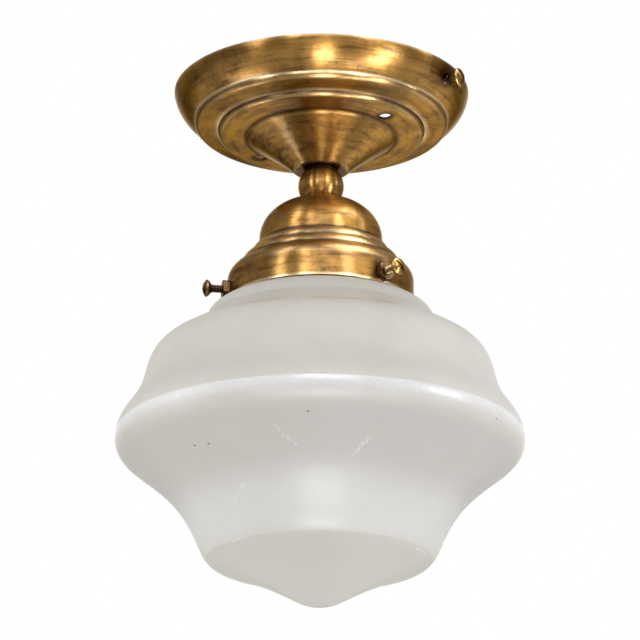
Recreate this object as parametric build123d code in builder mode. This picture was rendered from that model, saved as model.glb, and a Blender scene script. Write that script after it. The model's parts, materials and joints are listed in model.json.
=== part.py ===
from build123d import *
import os
from itertools import pairwise
from math import cos, radians, sin, tan

# Schoolhouse ceiling light in millimetres.
# The origin is on the ceiling plane at the axis, +Z is up, and the ceiling strap lies along X.

# Fits
thread_fit = 0.04
slip_fit = 0.2
clear_gap = 0.3
nut_seat_gap = 0.05

# Screws and the threaded stem
screw_r = 2.08
small_screw_r = 1.45
slot_width = 1.1
slot_depth = 1.0
tip_share = 0.3
head_edge_low = 0.27
head_edge_high = 0.64
head_edge_share = 0.13
head_under_out = 0.62
head_under_rise = 0.33
head_dome_out = 0.615
head_dome_fall = 0.125
head_slot_turn = -45.0
pan_round_share = 0.35
nut_turned_share = 0.6
nipple_r = 4.85
nipple_bore_r = 3.3
nipple_proud = 3.0

# Canopy sheet, measured down and in from its rim
canopy_r = 76.2
canopy_wall = 1.0
canopy_lip = 0.8
bowl_step = 10.7
bowl_drop = 15.3
bowl_bulge = 2.0
bead_1_step = 2.6
bead_1_drop = 3.5
bead_1_bulge = 0.95
shelf_1_step = 9.6
shelf_1_drop = 1.4
bead_2_step = 2.0
bead_2_drop = 3.0
bead_2_bulge = 0.8
shelf_2_step = 12.7
shelf_2_drop = 0.9
cone_tip_r = 14.0
cone_drop = 18.4
cone_lip = 0.4
cone_hollow = 0.6
flat_hole_r = 3.0
flat_hole_out = 4.3
flat_hole_angle = -11.0

# Canopy thumb screw, and the fixed pin across from it
side_screw_drop = 7.4
side_shoulder_r = 3.1
side_shoulder_len = 3.2
side_shoulder_out = 0.8
side_head_r = 4.9
side_head_len = 4.1
pin_flange_r = 3.4
pin_flange_t = 1.0
pin_end_in = 2.3

# Ceiling strap
strap_wall = 1.5
strap_width = 18.0
strap_clear = 8.2
strap_bend_r = 3.0
tab_drop = 11.6
tab_grip = 2.0
slot_spacing = 75.0
slot_len = 24.0
slot_across = 4.8
ground_screw_out = 5.2
ground_head_r = 4.2
ground_head_len = 3.0

# Terminal block under the strap
block_len = 30.0
block_width = 18.0
block_height = 13.0
block_corner_r = 2.0
pole_pitch = 10.0
clamp_pitch = 9.0
clamp_r = 2.1
clamp_len = 3.0
entry_r = 1.6
entry_drop = 6.5
block_screw_pitch = 22.0
block_head_r = 2.7
block_head_len = 1.8
block_well_depth = 6.0
pole_slit_width = 1.6
pole_slit_depth = 4.0

# Neck ball
ball_r = 11.7
ball_len = 17.5

# Fitter sheet, measured down from its top
fitter_wall = 1.0
fitter_top_r = 9.3
fitter_top_heading = -5.0
fitter_neck_r = 31.4
fitter_dome_drop = 21.0
fitter_crease_r = 31.6
fitter_neck_drop = 3.7
bead_a_r = 35.4
bead_a_drop = 5.1
bead_a_bulge = 1.1
bead_inset_share = 0.8
bead_b_r = 40.5
bead_b_drop = 5.5
bead_b_bulge = 1.3
shoulder_drop = 8.7
shoulder_heading = -30.0
fitter_r = 47.3
band_drop = 12.2

# Shade screws and their nuts
shade_screw_angles = {"right": -19.0, "left": -139.0, "rear": 101.0}
shade_screw_rise = 5.4
shade_shank_bare = 5.65
shade_collar_r = 2.45
shade_collar_len = 0.4
shade_head_r = 4.4
shade_head_len = 4.0
nut_across = 8.73
nut_thick = 3.2

# Glass shade, measured up and down from the fitter rim
glass_wall = 3.0
lip_proud = 1.58
lip_round = 1.2
lip_top_rise = 16.5
lip_low_rise = 11.3
waist_r = 39.7
waist_low_rise = 2.9
flare_r = 47.6
flare_drop = 0.8
collar_r = 57.9
collar_drop = 9.2
crease_r = 62.1
crease_drop = 13.0
dome_r = 78.6
dome_drop = 23.6
flank_r = 91.5
flank_drop = 50.2
belly_r = 102.0
belly_drop = 72.2
under_r = 92.7
under_drop = 85.2
skirt_r = 60.6
skirt_drop = 124.1
foot_r = 50.7
foot_drop = 135.6
ogee_r = 16.7
ogee_drop = 150.1
tip_drop = 155.8
curve_pull = 0.39

# Stem hardware
lock_washer_r = 9.0
lock_washer_t = 0.8
washer_teeth = 10
tooth_gap_r = 0.9
tag_r = 8.0
tag_t = 0.8
tag_tongue_len = 12.5
tag_tongue_width = 6.0
lock_nut_across = 14.3
lock_nut_t = 3.2
fitter_washer_r = 8.8
fitter_washer_t = 1.0

# Socket bridge
hub_r = 7.5
hub_len = 4.0
bridge_wall = 1.4
bridge_width = 12.0
bridge_half_top = 10.0
bridge_half_foot = 13.0
bridge_half_len = 21.0
bridge_drop = 10.0
bridge_bend_r = 1.8
foot_screw_y = 17.3

# Lamp socket
socket_r = 21.0
socket_low_r = 18.5
socket_flange = 8.0
socket_len = 32.0
socket_round = 1.5
socket_roof = 6.0
shell_wall = 0.6
shell_len = 24.0
shell_hole_r = 7.0
contact_r = 4.5
contact_len = 2.0
socket_screw_depth = 7.0
terminal_x = 15.0
terminal_head_r = 3.4
terminal_head_len = 2.4
foot_head_r = 3.0
foot_head_len = 2.0

# Lamp
cap_r = 13.05
cap_len = 22.0
cap_wall = 0.5
cap_top_r = 9.0
cap_shoulder = 4.0
insulator_r = 5.5
insulator_len = 2.3
lamp_contact_r = 2.6
lamp_contact_len = 1.0
lamp_contact_round = 0.6
bulb_wall = 1.0
bulb_neck_r = 12.6
bulb_r = 30.0
bulb_globe_drop = 55.0
bulb_len = 85.0

# Leads
lead_r = 1.1
lead_offset = 1.4
lead_loop_y = 20.0
lead_loop_low = 22.0
lead_turn_z = 26.7
lead_seat = 3.0
ground_lead_r = 0.8
ground_turn_z = 28.7
ground_loop_y = 17.0
ground_loop_low = 20.0
bend_share = 0.45
bend_limit = 14.0

# Heights down the axis
cone_low = -(bowl_drop + bead_1_drop + shelf_1_drop + bead_2_drop + shelf_2_drop + cone_drop)
cone_floor = cone_low + canopy_wall
tag_low = cone_floor + lock_washer_t
lock_nut_low = tag_low + tag_t
nipple_top = lock_nut_low + lock_nut_t + nipple_proud
ball_mid = cone_low - ball_len / 2
fitter_top = cone_low - ball_len
fitter_rim = fitter_top - fitter_dome_drop - fitter_neck_drop
fitter_rim = fitter_rim - bead_a_drop - bead_b_drop - shoulder_drop - band_drop
hub_top = fitter_top - fitter_wall - fitter_washer_t
plate_top = hub_top - hub_len
nipple_low = plate_top - bridge_wall
socket_top = plate_top - bridge_drop
socket_floor = socket_top - socket_roof
contact_low = socket_floor - contact_len
cap_top = contact_low - clear_gap - lamp_contact_len - insulator_len
cap_low = cap_top - cap_len
strap_x = canopy_r - strap_clear
ground_screw_x = block_len / 2 + ground_screw_out
shade_screw_z = fitter_rim + shade_screw_rise
shell_r = cap_r + clear_gap + shell_wall
nipple_hole_r = nipple_r + slip_fit


def heading_of(station):
    """Unit vector along the heading of a station of radius, height and heading."""
    return Vector(cos(radians(station[2])), sin(radians(station[2])))


def point_of(station, inset=0.0):
    """Point of a station, moved to the right of its heading by the inset."""
    ahead = heading_of(station)
    return Vector(station[0], station[1]) + Vector(ahead.Y, -ahead.X) * inset


def flow(stations, inset=0.0):
    """Draw a smooth curve through the stations, moved to the right by the inset."""
    for before, after in pairwise(stations):
        start = point_of(before, inset)
        end = point_of(after, inset)
        reach = (end - start).length * curve_pull
        Bezier(start, start + heading_of(before) * reach, end - heading_of(after) * reach, end)


def radial_plane(angle, radius, height):
    """Plane that faces straight out from the axis."""
    out = Vector(cos(radians(angle)), sin(radians(angle)))
    return Plane(origin=out * radius + Vector(0, 0, height), x_dir=(0, 0, 1), z_dir=out)


def down_plane(x, y, height):
    """Plane that faces the floor."""
    return Plane(origin=(x, y, height), x_dir=(1, 0, 0), z_dir=(0, 0, -1))


def thumb_screw(shank_len, shoulder_r, shoulder_len, head_r, head_len):
    """Screw up the Z axis from its tip, with a slotted button head that is round on both sides."""
    point = screw_r * tip_share
    head_low = shank_len + shoulder_len
    end = head_low + head_len
    edge = head_r - head_len * head_edge_share
    edge_low = head_low + head_len * head_edge_low
    edge_high = head_low + head_len * head_edge_high
    crown = end - head_len * head_dome_fall
    round_r = shoulder_r + (edge - shoulder_r) * head_under_out
    round_z = head_low + (edge_low - head_low) * head_under_rise
    with BuildPart() as screw:
        with BuildSketch(Plane.XZ):
            with BuildLine():
                Polyline(
                    (0, end),
                    (0, 0),
                    (screw_r - point, 0),
                    (screw_r, point),
                    (screw_r, shank_len),
                    (shoulder_r, shank_len),
                    (shoulder_r, head_low),
                )
                ThreePointArc((shoulder_r, head_low), (round_r, round_z), (edge, edge_low))
                ThreePointArc((edge, edge_low), (head_r, (edge_low + edge_high) / 2), (edge, edge_high))
                ThreePointArc((edge, edge_high), (edge * head_dome_out, crown), (0, end))
            make_face()
        revolve(axis=Axis.Z)
        with Locations((0, 0, end)):
            Box(slot_width, head_r * 2, slot_depth * 2, rotation=(0, 0, head_slot_turn), mode=Mode.SUBTRACT)
    return screw.part


def pan_screw(shank_r, shank_len, head_r, head_len):
    """Slotted screw whose head stands on the XY plane with the shank below it."""
    with BuildPart() as screw:
        Cylinder(shank_r, shank_len, align=(Align.CENTER, Align.CENTER, Align.MAX))
        Cylinder(head_r, head_len, align=(Align.CENTER, Align.CENTER, Align.MIN))
        fillet(screw.edges().group_by(Axis.Z)[-1], radius=head_len * pan_round_share)
        with Locations((0, 0, head_len)):
            Box(slot_width, head_r * 2, slot_depth, mode=Mode.SUBTRACT)
    return screw.part


def hex_nut(across, thick, bore_r):
    """Hexagon nut that stands on the XY plane, its upper corners turned off."""
    corner_r = across / 2 / cos(radians(30))
    turned = corner_r - across / 2
    with BuildPart() as nut:
        with BuildSketch():
            RegularPolygon(across / 2, 6, major_radius=False)
        extrude(amount=thick)
        with BuildSketch(Plane.XZ):
            with BuildLine():
                Polyline(
                    (0, 0),
                    (corner_r, 0),
                    (corner_r, thick - turned * nut_turned_share),
                    (across / 2, thick),
                    (0, thick),
                    close=True,
                )
            make_face()
        revolve(axis=Axis.Z, mode=Mode.INTERSECT)
        Cylinder(bore_r, thick * 4, mode=Mode.SUBTRACT)
    return nut.part


def lead(points, radius):
    """Wire along the points, each bend as wide as its two runs allow."""
    corners = [Vector(point) for point in points]
    bends = []
    for before, here, after in zip(corners, corners[1:], corners[2:]):
        arrive = here - before
        leave = after - here
        half_turn = radians(arrive.get_angle(leave)) / 2
        bends.append(min(bend_limit, bend_share * min(arrive.length, leave.length) / tan(half_turn)))
    with BuildPart() as wire:
        with BuildLine() as route:
            FilletPolyline(*corners, radius=bends)
        with BuildSketch(Plane(origin=route.line @ 0, z_dir=route.line % 0)):
            Circle(radius)
        sweep(path=route.line)
    return wire.part


os.makedirs("parts", exist_ok=True)

# Ceiling strap with bent tabs, two long slots and tapped holes
with BuildPart() as ceiling_strap:
    with BuildSketch(Plane.XZ):
        with BuildLine():
            FilletPolyline(
                (strap_x, -tab_drop),
                (strap_x, 0),
                (-strap_x, 0),
                (-strap_x, -tab_drop),
                radius=strap_bend_r,
            )
            offset(amount=strap_wall, side=Side.LEFT)
        make_face()
    extrude(amount=strap_width / 2, both=True)
    with BuildSketch():
        with GridLocations(slot_spacing, 0, 2, 1):
            SlotOverall(slot_len, slot_across)
        with GridLocations(block_screw_pitch, 0, 2, 1):
            Circle(small_screw_r + thread_fit)
        with Locations((ground_screw_x, 0)):
            Circle(screw_r + thread_fit)
    extrude(amount=-strap_wall, mode=Mode.SUBTRACT)
    with Locations(radial_plane(0, 0, -side_screw_drop)):
        Cylinder(screw_r + thread_fit, strap_x * 3, mode=Mode.SUBTRACT)
ceiling_strap.part.label = "ceiling_strap"
export_step(ceiling_strap.part, "parts/ceiling_strap.step")

ground_stack = strap_wall + 2 * ground_lead_r + clear_gap
with BuildPart() as ground_screw:
    with Locations(down_plane(ground_screw_x, 0, -ground_stack)):
        add(pan_screw(screw_r, ground_stack, ground_head_r, ground_head_len))
ground_screw.part.label = "ground_screw"
export_step(ground_screw.part, "parts/ground_screw.step")

# Terminal block, screwed up to the strap, with its clamp screws facing the floor
block_low = -strap_wall - block_height
entry_z = -strap_wall - entry_drop
with BuildPart() as terminal_block:
    with BuildSketch(Plane.XY.offset(block_low)):
        RectangleRounded(block_len, block_width, block_corner_r)
    extrude(amount=block_height)
    with BuildSketch(Plane.XZ):
        with Locations((-pole_pitch / 2, entry_z), (pole_pitch / 2, entry_z)):
            Circle(entry_r)
    extrude(amount=block_width, both=True, mode=Mode.SUBTRACT)
    with BuildSketch(Plane.XY.offset(block_low)):
        with GridLocations(pole_pitch, clamp_pitch, 2, 2):
            Circle(clamp_r + thread_fit)
    extrude(amount=block_height - entry_drop - entry_r, mode=Mode.SUBTRACT)
    with BuildSketch(Plane.XY.offset(block_low)):
        with GridLocations(block_screw_pitch, 0, 2, 1):
            Circle(block_head_r + slip_fit)
    extrude(amount=block_well_depth, mode=Mode.SUBTRACT)
    with BuildSketch(Plane.XY.offset(block_low)):
        with GridLocations(block_screw_pitch, 0, 2, 1):
            Circle(small_screw_r + slip_fit)
    extrude(amount=block_height, mode=Mode.SUBTRACT)
    with BuildSketch(Plane.XY.offset(block_low)):
        Rectangle(pole_slit_width, block_width)
    extrude(amount=pole_slit_depth, mode=Mode.SUBTRACT)
terminal_block.part.label = "terminal_block"
export_step(terminal_block.part, "parts/terminal_block.step")

with BuildPart() as clamp_screws:
    with Locations(down_plane(0, 0, block_low + clamp_len)):
        with GridLocations(pole_pitch, clamp_pitch, 2, 2):
            add(pan_screw(small_screw_r, slot_width, clamp_r, clamp_len - slot_depth))
clamp_screws.part.label = "clamp_screws"
export_step(clamp_screws.part, "parts/clamp_screws.step")

block_seat = block_low + block_well_depth
with BuildPart() as block_screws:
    with Locations(*[down_plane(x, 0, block_seat) for x in (-block_screw_pitch / 2, block_screw_pitch / 2)]):
        add(pan_screw(small_screw_r, -block_seat, block_head_r, block_head_len))
block_screws.part.label = "block_screws"
export_step(block_screws.part, "parts/block_screws.step")

# Spun canopy: a lip, a bowl, two beads with shelves and a hollow-sided cone down to the stem
crease_1 = Vector(canopy_r - bowl_step, -bowl_drop)
bead_1 = crease_1 - Vector(bead_1_step, bead_1_drop)
crease_2 = bead_1 - Vector(shelf_1_step, shelf_1_drop)
bead_2 = crease_2 - Vector(bead_2_step, bead_2_drop)
cone_base = bead_2 - Vector(shelf_2_step, shelf_2_drop)
cone_edge = cone_base - Vector(0, cone_lip)
cone_tip = Vector(cone_tip_r, cone_low)
with BuildPart() as canopy:
    with BuildSketch(Plane.XZ):
        with BuildLine():
            Line((canopy_r, 0), (canopy_r, -canopy_lip))
            SagittaArc((canopy_r, -canopy_lip), crease_1, bowl_bulge)
            SagittaArc(crease_1, bead_1, bead_1_bulge)
            Line(bead_1, crease_2)
            SagittaArc(crease_2, bead_2, bead_2_bulge)
            Line(bead_2, cone_base)
            Line(cone_base, cone_edge)
            SagittaArc(cone_edge, cone_tip, -cone_hollow)
            Line(cone_tip, (nipple_hole_r, cone_low))
            offset(amount=canopy_wall, side=Side.RIGHT)
        make_face()
    revolve(axis=Axis.Z)
    with Locations(radial_plane(0, 0, -side_screw_drop)):
        Cylinder(screw_r + slip_fit, canopy_r * 3, mode=Mode.SUBTRACT)
    with PolarLocations(cone_base.X + flat_hole_out, 2, start_angle=flat_hole_angle):
        Cylinder(flat_hole_r, -cone_low * 2, mode=Mode.SUBTRACT)
canopy.part.label = "canopy"
export_step(canopy.part, "parts/canopy.step")

# Thumb screw through the canopy wall into one strap tab, and a fixed pin in the other tab
side_tip_x = strap_x - strap_wall - tab_grip
side_shoulder_x = canopy_r - side_shoulder_out
with BuildPart() as canopy_screw:
    with Locations(radial_plane(0, side_tip_x, -side_screw_drop)):
        add(
            thumb_screw(
                side_shoulder_x - side_tip_x, side_shoulder_r, side_shoulder_len, side_head_r, side_head_len
            )
        )
canopy_screw.part.label = "canopy_screw"
export_step(canopy_screw.part, "parts/canopy_screw.step")

pin_flange_x = strap_x - strap_wall - pin_flange_t
with BuildPart() as canopy_pin:
    with BuildSketch(radial_plane(180, pin_flange_x, -side_screw_drop)):
        Circle(pin_flange_r)
    extrude(amount=pin_flange_t)
    with BuildSketch(radial_plane(180, pin_flange_x, -side_screw_drop)):
        Circle(screw_r)
    extrude(amount=canopy_r - pin_end_in - pin_flange_x)
canopy_pin.part.label = "canopy_pin"
export_step(canopy_pin.part, "parts/canopy_pin.step")

# Stem nipple and what is threaded on it inside the canopy
with BuildPart() as stem_nipple:
    with BuildSketch(Plane.XY.offset(nipple_low)):
        Circle(nipple_r)
        Circle(nipple_bore_r, mode=Mode.SUBTRACT)
    extrude(amount=nipple_top - nipple_low)
stem_nipple.part.label = "stem_nipple"
export_step(stem_nipple.part, "parts/stem_nipple.step")

with BuildPart() as canopy_lock_washer:
    with BuildSketch(Plane.XY.offset(cone_floor)):
        Circle(lock_washer_r)
        Circle(nipple_hole_r, mode=Mode.SUBTRACT)
        with PolarLocations(lock_washer_r, washer_teeth):
            Circle(tooth_gap_r, mode=Mode.SUBTRACT)
    extrude(amount=lock_washer_t)
canopy_lock_washer.part.label = "canopy_lock_washer"
export_step(canopy_lock_washer.part, "parts/canopy_lock_washer.step")

with BuildPart() as ground_tag:
    with BuildSketch(Plane.XY.offset(tag_low)):
        Circle(tag_r)
        with Locations((tag_tongue_len / 2, 0)):
            RectangleRounded(tag_tongue_len, tag_tongue_width, tag_tongue_width / 3)
        Circle(nipple_hole_r, mode=Mode.SUBTRACT)
    extrude(amount=tag_t)
ground_tag.part.label = "ground_tag"
export_step(ground_tag.part, "parts/ground_tag.step")

with BuildPart() as canopy_lock_nut:
    with Locations((0, 0, lock_nut_low)):
        add(hex_nut(lock_nut_across, lock_nut_t, nipple_r + thread_fit))
canopy_lock_nut.part.label = "canopy_lock_nut"
export_step(canopy_lock_nut.part, "parts/canopy_lock_nut.step")

with BuildPart() as neck_ball:
    with Locations((0, 0, ball_mid)):
        Sphere(ball_r)
        Cylinder(ball_r, ball_len, mode=Mode.INTERSECT)
        Cylinder(nipple_hole_r, ball_len * 2, mode=Mode.SUBTRACT)
neck_ball.part.label = "neck_ball"
export_step(neck_ball.part, "parts/neck_ball.step")

# Spun fitter: a dome, two beads, a shoulder and a straight band
fitter_neck_z = fitter_top - fitter_dome_drop
fitter_crease = Vector(fitter_crease_r, fitter_neck_z - fitter_neck_drop)
bead_a = Vector(bead_a_r, fitter_crease.Y - bead_a_drop)
bead_b = Vector(bead_b_r, bead_a.Y - bead_b_drop)
band_top = bead_b.Y - shoulder_drop
fitter_dome = [(fitter_top_r, fitter_top, fitter_top_heading), (fitter_neck_r, fitter_neck_z, -90.0)]
fitter_shoulder = [(bead_b.X, bead_b.Y, shoulder_heading), (fitter_r, band_top, -90.0)]
with BuildPart() as fitter:
    with BuildSketch(Plane.XZ):
        with BuildLine():
            Line((nipple_hole_r, fitter_top), point_of(fitter_dome[0]))
            flow(fitter_dome)
            Line(point_of(fitter_dome[1]), fitter_crease)
            SagittaArc(fitter_crease, bead_a, bead_a_bulge)
            SagittaArc(bead_a, bead_b, bead_b_bulge)
            flow(fitter_shoulder)
            Polyline((fitter_r, band_top), (fitter_r, fitter_rim), (fitter_r - fitter_wall, fitter_rim))
            Line((fitter_r - fitter_wall, fitter_rim), point_of(fitter_shoulder[1], fitter_wall))
            flow(fitter_shoulder, inset=fitter_wall)
            Polyline(
                point_of(fitter_shoulder[0], fitter_wall),
                bead_a - Vector(fitter_wall, fitter_wall) * bead_inset_share,
                fitter_crease - Vector(fitter_wall, 0),
                point_of(fitter_dome[1], fitter_wall),
            )
            flow(fitter_dome, inset=fitter_wall)
            Polyline(
                point_of(fitter_dome[0], fitter_wall),
                (nipple_hole_r, fitter_top - fitter_wall),
                (nipple_hole_r, fitter_top),
            )
        make_face()
    revolve(axis=Axis.Z)
    with Locations(*[radial_plane(angle, fitter_r, shade_screw_z) for angle in shade_screw_angles.values()]):
        Cylinder(screw_r + slip_fit, fitter_wall * 8, mode=Mode.SUBTRACT)
fitter.part.label = "fitter"
export_step(fitter.part, "parts/fitter.step")

with BuildPart() as fitter_nuts:
    nut_r = fitter_r + nut_seat_gap
    with Locations(*[radial_plane(angle, nut_r, shade_screw_z) for angle in shade_screw_angles.values()]):
        add(hex_nut(nut_across, nut_thick, screw_r + thread_fit))
fitter_nuts.part.label = "fitter_nuts"
export_step(fitter_nuts.part, "parts/fitter_nuts.step")

with BuildPart() as fitter_washer:
    with BuildSketch(Plane.XY.offset(hub_top)):
        Circle(fitter_washer_r)
        Circle(nipple_hole_r, mode=Mode.SUBTRACT)
    extrude(amount=fitter_washer_t)
fitter_washer.part.label = "fitter_washer"
export_step(fitter_washer.part, "parts/fitter_washer.step")

# Three thumb screws that hold the shade by its lip
shade_tip_r = waist_r + clear_gap
shade_shank_len = fitter_r + nut_seat_gap + nut_thick + shade_shank_bare - shade_tip_r
for side, angle in shade_screw_angles.items():
    with BuildPart() as shade_screw:
        with Locations(radial_plane(angle, shade_tip_r, shade_screw_z)):
            add(thumb_screw(shade_shank_len, shade_collar_r, shade_collar_len, shade_head_r, shade_head_len))
    shade_screw.part.label = f"shade_screw_{side}"
    export_step(shade_screw.part, f"parts/shade_screw_{side}.step")

# Blown glass shade
neck_bore = waist_r - glass_wall
lip_top = fitter_rim + lip_top_rise
lip_low = fitter_rim + lip_low_rise
waist_low = fitter_rim + waist_low_rise
lip_r = waist_r + lip_proud
lip_in = lip_r - lip_round
shade_path = [
    (waist_r, waist_low, -90.0),
    (flare_r, fitter_rim - flare_drop, -18.0),
    (collar_r, fitter_rim - collar_drop, -80.0),
    (crease_r, fitter_rim - crease_drop, -39.5),
    (dome_r, fitter_rim - dome_drop, -31.4),
    (flank_r, fitter_rim - flank_drop, -63.8),
    (belly_r, fitter_rim - belly_drop, -90.0),
    (under_r, fitter_rim - under_drop, -142.4),
    (skirt_r, fitter_rim - skirt_drop, -112.9),
    (foot_r, fitter_rim - foot_drop, -162.6),
    (ogee_r, fitter_rim - ogee_drop, -151.9),
    (0.0, fitter_rim - tip_drop, -180.0),
]
shade_foot = fitter_rim - tip_drop
with BuildPart() as shade:
    with BuildSketch(Plane.XZ):
        with BuildLine():
            Polyline((neck_bore, waist_low), (neck_bore, lip_top), (lip_in, lip_top))
            ThreePointArc((lip_in, lip_top), (lip_r, (lip_top + lip_low) / 2), (lip_in, lip_low))
            Polyline((lip_in, lip_low), (waist_r, lip_low - lip_round), (waist_r, waist_low))
            flow(shade_path)
            flow(shade_path, inset=glass_wall)
            Line((0, shade_foot), (0, shade_foot + glass_wall))
        make_face()
    revolve(axis=Axis.Z)
shade.part.label = "shade"
export_step(shade.part, "parts/shade.step")

# Socket bridge: a tapped hub on a strip bent down to two feet
with BuildPart() as socket_bridge:
    with BuildSketch(Plane.YZ):
        with BuildLine():
            FilletPolyline(
                (bridge_half_len, socket_top + bridge_wall),
                (bridge_half_foot, socket_top + bridge_wall),
                (bridge_half_top, plate_top),
                (-bridge_half_top, plate_top),
                (-bridge_half_foot, socket_top + bridge_wall),
                (-bridge_half_len, socket_top + bridge_wall),
                radius=bridge_bend_r,
            )
            offset(amount=bridge_wall, side=Side.LEFT)
        make_face()
    extrude(amount=bridge_width / 2, both=True)
    with BuildSketch(Plane.XY.offset(plate_top)):
        Circle(hub_r)
    extrude(amount=hub_len)
    with Locations((0, 0, plate_top)):
        Cylinder(nipple_r + thread_fit, hub_len * 3, mode=Mode.SUBTRACT)
    with BuildSketch(Plane.XY.offset(socket_top)):
        with GridLocations(0, foot_screw_y * 2, 1, 2):
            Circle(small_screw_r + slip_fit)
    extrude(amount=bridge_wall, mode=Mode.SUBTRACT)
socket_bridge.part.label = "socket_bridge"
export_step(socket_bridge.part, "parts/socket_bridge.step")

with BuildPart() as bridge_screws:
    with Locations((0, foot_screw_y, socket_top + bridge_wall), (0, -foot_screw_y, socket_top + bridge_wall)):
        add(pan_screw(small_screw_r, socket_screw_depth, foot_head_r, foot_head_len))
bridge_screws.part.label = "bridge_screws"
export_step(bridge_screws.part, "parts/bridge_screws.step")

# Porcelain socket with its brass shell, centre contact and terminal screws
socket_low = socket_top - socket_len
with BuildPart() as socket_body:
    with BuildSketch(Plane.XZ):
        with BuildLine():
            Polyline(
                (0, socket_floor),
                (0, socket_top),
                (socket_r, socket_top),
                (socket_r, socket_top - socket_flange),
                (socket_low_r, socket_low),
                (shell_r + thread_fit, socket_low),
                (shell_r + thread_fit, socket_floor),
                close=True,
            )
        make_face()
    revolve(axis=Axis.Z)
    fillet(socket_body.faces().sort_by(Axis.Z)[-1].outer_wire().edges(), socket_round)
    with BuildSketch(Plane.XY.offset(socket_top)):
        with GridLocations(terminal_x * 2, 0, 2, 1):
            Circle(small_screw_r + thread_fit)
        with GridLocations(0, foot_screw_y * 2, 1, 2):
            Circle(small_screw_r + thread_fit)
    extrude(amount=-socket_screw_depth, mode=Mode.SUBTRACT)
socket_body.part.label = "socket_body"
export_step(socket_body.part, "parts/socket_body.step")

with BuildPart() as socket_shell:
    with BuildSketch(Plane.XZ):
        with BuildLine():
            Polyline(
                (shell_hole_r, socket_floor),
                (shell_r, socket_floor),
                (shell_r, socket_floor - shell_len),
                (shell_r - shell_wall, socket_floor - shell_len),
                (shell_r - shell_wall, socket_floor - shell_wall),
                (shell_hole_r, socket_floor - shell_wall),
                close=True,
            )
        make_face()
    revolve(axis=Axis.Z)
socket_shell.part.label = "socket_shell"
export_step(socket_shell.part, "parts/socket_shell.step")

with BuildPart() as socket_contact:
    with BuildSketch(Plane.XY.offset(contact_low)):
        Circle(contact_r)
    extrude(amount=contact_len)
    chamfer(socket_contact.edges().group_by(Axis.Z)[0], length=contact_len / 2)
socket_contact.part.label = "socket_contact"
export_step(socket_contact.part, "parts/socket_contact.step")

terminal_seat = socket_top + 2 * lead_r + slip_fit
with BuildPart() as terminal_screws:
    with Locations((terminal_x, 0, terminal_seat), (-terminal_x, 0, terminal_seat)):
        add(pan_screw(small_screw_r, socket_screw_depth, terminal_head_r, terminal_head_len))
terminal_screws.part.label = "terminal_screws"
export_step(terminal_screws.part, "parts/terminal_screws.step")

# Lamp: glass bulb, screw cap, insulator and end contact
with BuildPart() as bulb_glass:
    bulb_path = [
        (bulb_neck_r, cap_low, -90.0),
        (bulb_r, cap_low - bulb_globe_drop, -90.0),
        (0.0, cap_low - bulb_len, -180.0),
    ]
    with BuildSketch(Plane.XZ):
        with BuildLine():
            flow(bulb_path)
            flow(bulb_path, inset=bulb_wall)
            Line((bulb_neck_r, cap_low), (bulb_neck_r - bulb_wall, cap_low))
            Line((0, cap_low - bulb_len), (0, cap_low - bulb_len + bulb_wall))
        make_face()
    revolve(axis=Axis.Z)
bulb_glass.part.label = "bulb_glass"
export_step(bulb_glass.part, "parts/bulb_glass.step")

with BuildPart() as bulb_cap:
    with BuildSketch(Plane.XZ):
        with BuildLine():
            Polyline((cap_top_r, cap_top), (cap_r, cap_top - cap_shoulder), (cap_r, cap_low))
            offset(amount=cap_wall, side=Side.RIGHT)
        make_face()
    revolve(axis=Axis.Z)
bulb_cap.part.label = "bulb_cap"
export_step(bulb_cap.part, "parts/bulb_cap.step")

with BuildPart() as bulb_insulator:
    with BuildSketch(Plane.XY.offset(cap_top)):
        Circle(cap_top_r)
    with BuildSketch(Plane.XY.offset(cap_top + insulator_len)):
        Circle(insulator_r)
    loft()
bulb_insulator.part.label = "bulb_insulator"
export_step(bulb_insulator.part, "parts/bulb_insulator.step")

with BuildPart() as bulb_contact:
    with BuildSketch(Plane.XY.offset(cap_top + insulator_len)):
        Circle(lamp_contact_r)
    extrude(amount=lamp_contact_len)
    fillet(bulb_contact.edges().group_by(Axis.Z)[-1], radius=lamp_contact_round)
bulb_contact.part.label = "bulb_contact"
export_step(bulb_contact.part, "parts/bulb_contact.step")

# Leads from the socket terminals up through the stem to the block, and the ground lead to the strap
for name, side in {"lead_line": 1, "lead_neutral": -1}.items():
    with BuildPart() as supply_lead:
        wire_z = socket_top + lead_r + slip_fit / 2
        add(
            lead(
                [
                    (side * (terminal_x - small_screw_r - slip_fit), 0, wire_z),
                    (side * lead_offset, 0, wire_z),
                    (side * lead_offset, 0, -lead_turn_z),
                    (side * pole_pitch / 2, -lead_loop_y, -lead_loop_low),
                    (side * pole_pitch / 2, -lead_loop_y, entry_z),
                    (side * pole_pitch / 2, -block_width / 2 + lead_seat, entry_z),
                ],
                lead_r,
            )
        )
    supply_lead.part.label = name
    export_step(supply_lead.part, f"parts/{name}.step")

with BuildPart() as ground_lead:
    ground_x = tag_tongue_len - tag_tongue_width / 2
    ground_z = -strap_wall - ground_lead_r - clear_gap / 2
    add(
        lead(
            [
                (ground_x, 0, lock_nut_low),
                (ground_x, 0, -ground_turn_z),
                (ground_screw_x, -ground_loop_y, -ground_loop_low),
                (ground_screw_x, -ground_loop_y, ground_z),
                (ground_screw_x, -screw_r - slip_fit, ground_z),
            ],
            ground_lead_r,
        )
    )
ground_lead.part.label = "ground_lead"
export_step(ground_lead.part, "parts/ground_lead.step")
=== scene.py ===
import json
import math
from itertools import pairwise

import bmesh
import bpy
import numpy as np
from mathutils import Euler, Matrix, Vector


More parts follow.
